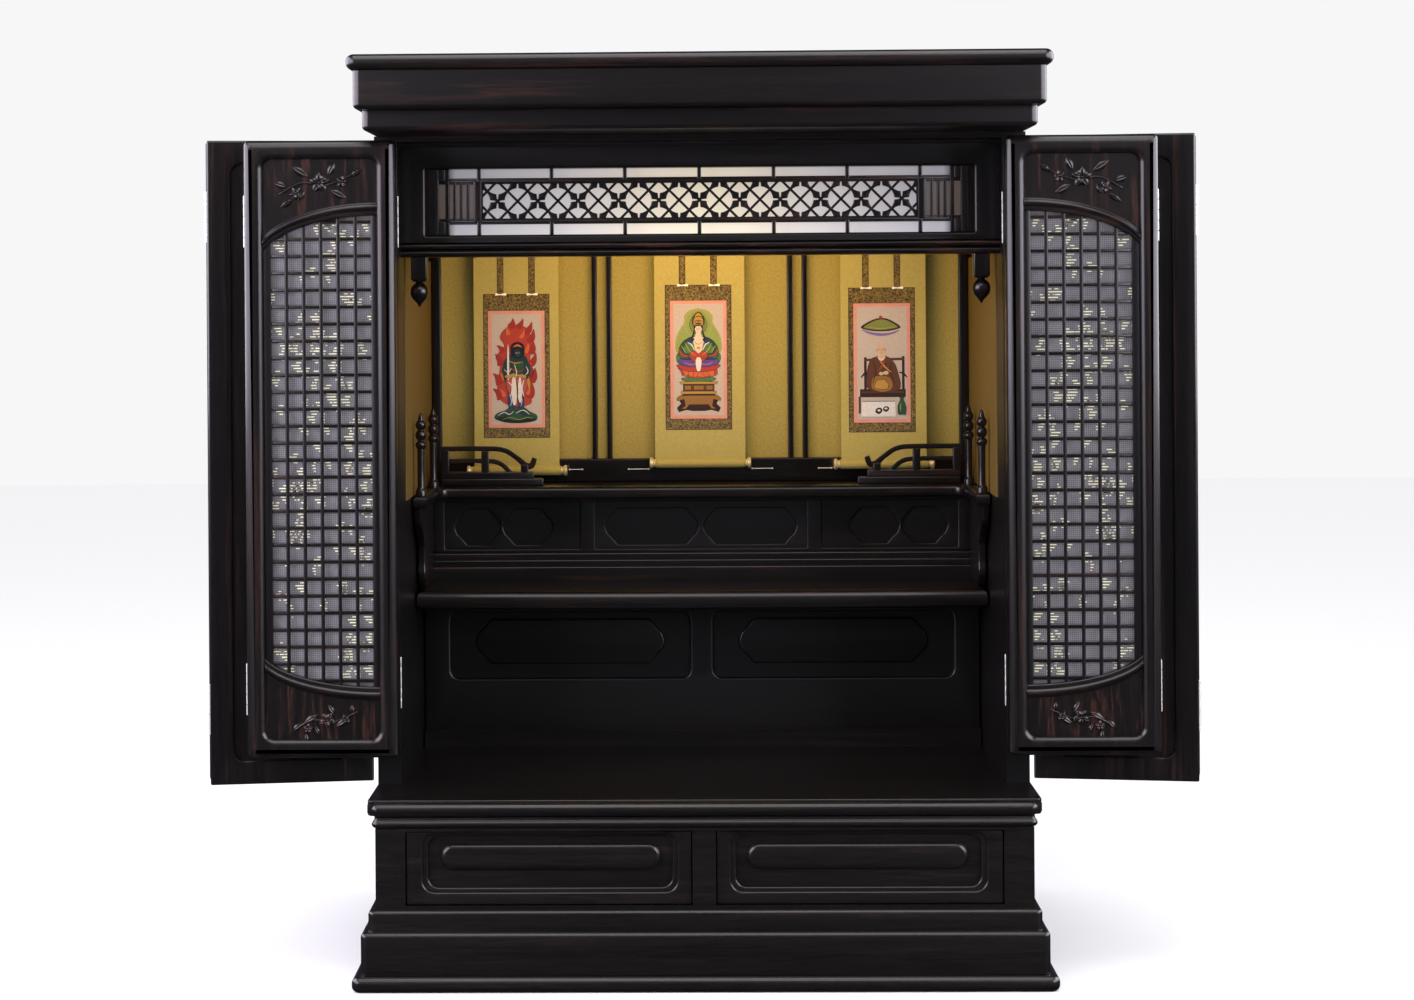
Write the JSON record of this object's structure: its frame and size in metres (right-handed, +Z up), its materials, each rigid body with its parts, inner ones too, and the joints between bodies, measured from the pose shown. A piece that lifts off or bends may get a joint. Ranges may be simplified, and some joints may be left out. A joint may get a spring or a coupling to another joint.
{
  "type": "household altar cabinet",
  "caption": "Tabletop household altar cabinet with folding outer and lattice doors, tiered shelves, gold back, hanging scrolls, drawers and a pull-out board.",
  "frame": {"origin": "middle of the underside of the foot, on the surface the cabinet stands on", "axes": "+Z up, front towards -Y, +X to the viewer's right when facing the open cabinet"},
  "size_m": [0.85, 0.4, 0.77],
  "materials": {
    "ebony_wood": "oiled and polished close-grained near-black wood, satin to semi-gloss, with reddish-brown streaks",
    "base_wood": "near-black stained wood with a satin lacquer, a little browner than the doors",
    "streaked_wood": "dark reddish-brown streaked wood, satin",
    "gold_lining": "mustard-gold woven lining, matt with a faint shimmer",
    "transom_sheet": "white translucent paper-like sheet",
    "silk": "grey-lavender sheer silk with broken gold threads",
    "scroll_cloth": "gold brocade scroll mounting with a pink border and a painted picture",
    "hinge_metal": "small plain butt hinges, satin grey metal"
  },
  "bodies": {
    "cabinet": {"back_frame": "ebony_wood", "back_panel": "streaked_wood", "beam": "ebony_wood", "ceiling_board": "ebony_wood", "centre_scroll": "scroll_cloth", "cornice_frieze": "ebony_wood", "cornice_step": "ebony_wood", "cornice_top": "ebony_wood", "cove_moulding": "base_wood", "door_slab": "base_wood", "drawer_case": "base_wood", "floor_step": "ebony_wood", "foot": "base_wood", "gold_back": "gold_lining", "gold_left": "gold_lining", "gold_right": "gold_lining", "head_rail": "ebony_wood", "left_bracket": "ebony_wood", "left_front_finial": "ebony_wood", "left_pendant": "ebony_wood", "left_railing": "ebony_wood", "left_rear_finial": "ebony_wood", "left_scroll": "scroll_cloth", "left_side_panel": "ebony_wood", "lower_riser": "ebony_wood", "lower_shelf": "ebony_wood", "plinth": "base_wood", "plinth_step": "base_wood", "right_bracket": "ebony_wood", "right_front_finial": "ebony_wood", "right_pendant": "ebony_wood", "right_railing": "ebony_wood", "right_rear_finial": "ebony_wood", "right_scroll": "scroll_cloth", "right_side_panel": "ebony_wood", "transom_frame": "ebony_wood", "transom_paper": "transom_sheet", "transom_trellis": "ebony_wood", "upper_riser": "ebony_wood", "upper_shelf": "ebony_wood"},
    "pull_out_board": {"pull_out_board": "ebony_wood"},
    "left_drawer": {"left_drawer_front": "base_wood", "left_drawer_box": "streaked_wood"},
    "right_drawer": {"right_drawer_front": "base_wood", "right_drawer_box": "streaked_wood"},
    "left_lattice_door": {"left_lattice_leaf": "ebony_wood", "left_lattice_silk": "silk"},
    "left_lattice_fold": {"left_lattice_fold_leaf": "ebony_wood", "left_lattice_fold_silk": "silk"},
    "left_outer_door": {"left_outer_leaf": "ebony_wood"},
    "left_outer_fold": {"left_outer_fold_leaf": "ebony_wood"},
    "right_lattice_door": {"right_lattice_leaf": "ebony_wood", "right_lattice_silk": "silk"},
    "right_lattice_fold": {"right_lattice_fold_leaf": "ebony_wood", "right_lattice_fold_silk": "silk"},
    "right_outer_door": {"right_outer_leaf": "ebony_wood"},
    "right_outer_fold": {"right_outer_fold_leaf": "ebony_wood"}
  },
  "joints": [
    {"name": "board_slide", "type": "slide", "parent": "cabinet", "child": "pull_out_board", "axis": [0, -1, 0], "range_m": [0, 0.2]},
    {"name": "left_drawer_slide", "type": "slide", "parent": "cabinet", "child": "left_drawer", "axis": [0, -1, 0], "range_m": [0, 0.24]},
    {"name": "right_drawer_slide", "type": "slide", "parent": "cabinet", "child": "right_drawer", "axis": [0, -1, 0], "range_m": [0, 0.24]},
    {"name": "left_lattice_hinge", "type": "hinge", "parent": "cabinet", "child": "left_lattice_door", "pos_m": [-0.2576, -0.1, 0.4435], "axis": [0, 0, 1], "range_deg": [0, 171.5]},
    {"name": "left_lattice_fold_hinge", "type": "hinge", "parent": "left_lattice_door", "child": "left_lattice_fold", "pos_m": [-0.38261, -0.13648, 0.4435], "axis": [0, 0, -1], "range_deg": [0, 171.5]},
    {"name": "left_outer_hinge", "type": "hinge", "parent": "cabinet", "child": "left_outer_door", "pos_m": [-0.28, -0.1, 0.4308], "axis": [0, 0, 1], "range_deg": [0, 171.5]},
    {"name": "left_outer_fold_hinge", "type": "hinge", "parent": "left_outer_door", "child": "left_outer_fold", "pos_m": [-0.42144, -0.10334, 0.4308], "axis": [0, 0, 1], "range_deg": [0, 174]},
    {"name": "right_lattice_hinge", "type": "hinge", "parent": "cabinet", "child": "right_lattice_door", "pos_m": [0.2576, -0.1, 0.4435], "axis": [0, 0, -1], "range_deg": [0, 171.5]},
    {"name": "right_lattice_fold_hinge", "type": "hinge", "parent": "right_lattice_door", "child": "right_lattice_fold", "pos_m": [0.38261, -0.13648, 0.4435], "axis": [0, 0, 1], "range_deg": [0, 171.5]},
    {"name": "right_outer_hinge", "type": "hinge", "parent": "cabinet", "child": "right_outer_door", "pos_m": [0.28, -0.1, 0.4308], "axis": [0, 0, -1], "range_deg": [0, 171.5]},
    {"name": "right_outer_fold_hinge", "type": "hinge", "parent": "right_outer_door", "child": "right_outer_fold", "pos_m": [0.42144, -0.10334, 0.4308], "axis": [0, 0, -1], "range_deg": [0, 174]}
  ],
  "couplings": [
    {"joint": "left_lattice_fold_hinge", "follows": "left_lattice_hinge", "ratio": 1},
    {"joint": "left_outer_hinge", "follows": "left_lattice_hinge", "ratio": 1},
    {"joint": "left_outer_fold_hinge", "follows": "left_lattice_hinge", "ratio": 1.0146},
    {"joint": "right_lattice_fold_hinge", "follows": "right_lattice_hinge", "ratio": 1},
    {"joint": "right_outer_hinge", "follows": "right_lattice_hinge", "ratio": 1},
    {"joint": "right_outer_fold_hinge", "follows": "right_lattice_hinge", "ratio": 1.0146}
  ]
}
